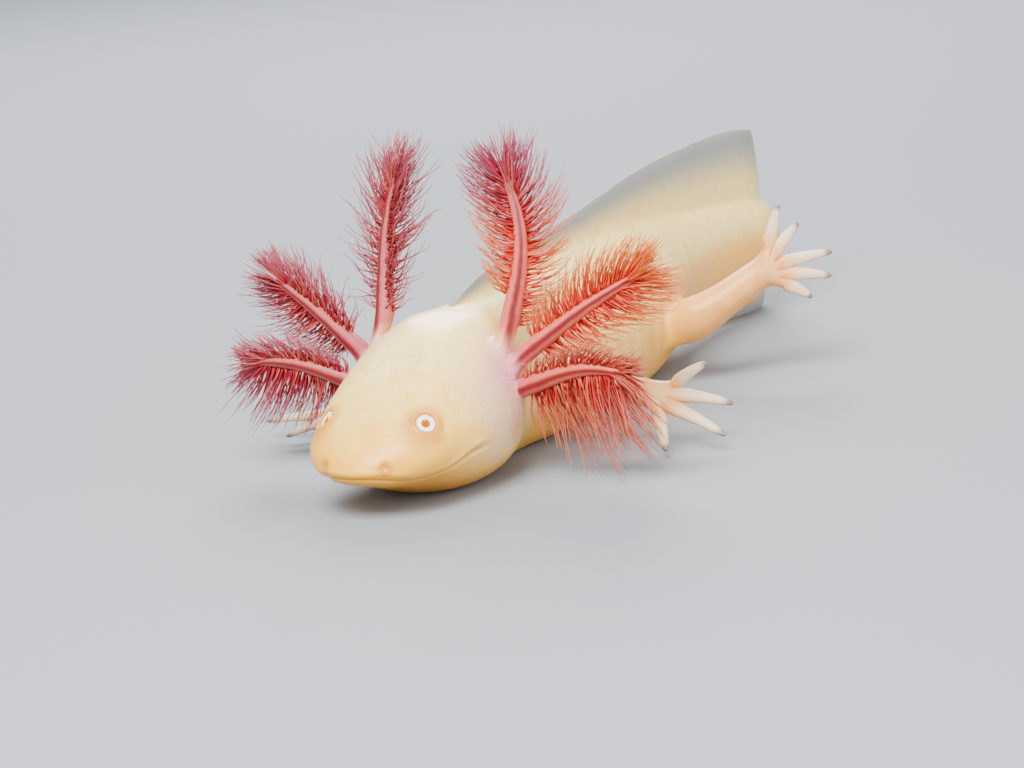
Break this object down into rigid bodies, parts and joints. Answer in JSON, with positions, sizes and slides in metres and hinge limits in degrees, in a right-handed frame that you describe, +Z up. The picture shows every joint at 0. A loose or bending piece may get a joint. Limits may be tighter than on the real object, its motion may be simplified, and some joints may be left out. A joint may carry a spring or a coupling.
{
  "type": "axolotl",
  "caption": "Still life-size axolotl on its belly: broad flat head, plumed gills held out behind it, spread legs with long fingers and toes, low back fin, finned tail folded round behind.",
  "frame": {"origin": "middle of the animal's extent in plan, on the floor it lies on", "axes": "+Z up, the head looks along -Y, the animal's left side is +X"},
  "size_m": [0.105, 0.1902, 0.0594],
  "materials": {
    "skin_cream": "soft moist cream skin",
    "skin_warm": "soft moist golden skin",
    "limb_skin": "soft moist pinkish skin",
    "fin": "thin translucent skin",
    "gill": "soft red filaments on a pink stalk",
    "eye": "clear wet eye with a pale ring round an orange pupil"
  },
  "bodies": {
    "root": {"head": "skin_cream", "lower_jaw": "skin_warm", "eye_left": "eye", "eye_right": "eye", "gill_top_left": "gill", "gill_middle_left": "gill", "gill_low_left": "gill", "gill_top_right": "gill", "gill_middle_right": "gill", "gill_low_right": "gill", "neck": "skin_cream", "trunk": "skin_cream", "tail_base": "skin_cream", "tail_fold": "skin_cream", "tail_end": "skin_cream", "dorsal_fin": "fin", "tail_fin_upper_base": "fin", "tail_fin_upper_fold": "fin", "tail_fin_upper_end": "fin", "tail_fin_lower_base": "fin", "tail_fin_lower_fold": "fin", "tail_fin_lower_end": "fin", "upper_arm_left": "limb_skin", "forearm_left": "limb_skin", "hand_left": "limb_skin", "upper_arm_right": "limb_skin", "forearm_right": "limb_skin", "hand_right": "limb_skin", "thigh_left": "limb_skin", "shank_left": "limb_skin", "foot_left": "limb_skin", "thigh_right": "limb_skin", "shank_right": "limb_skin", "foot_right": "limb_skin"}
  },
  "joints": []
}
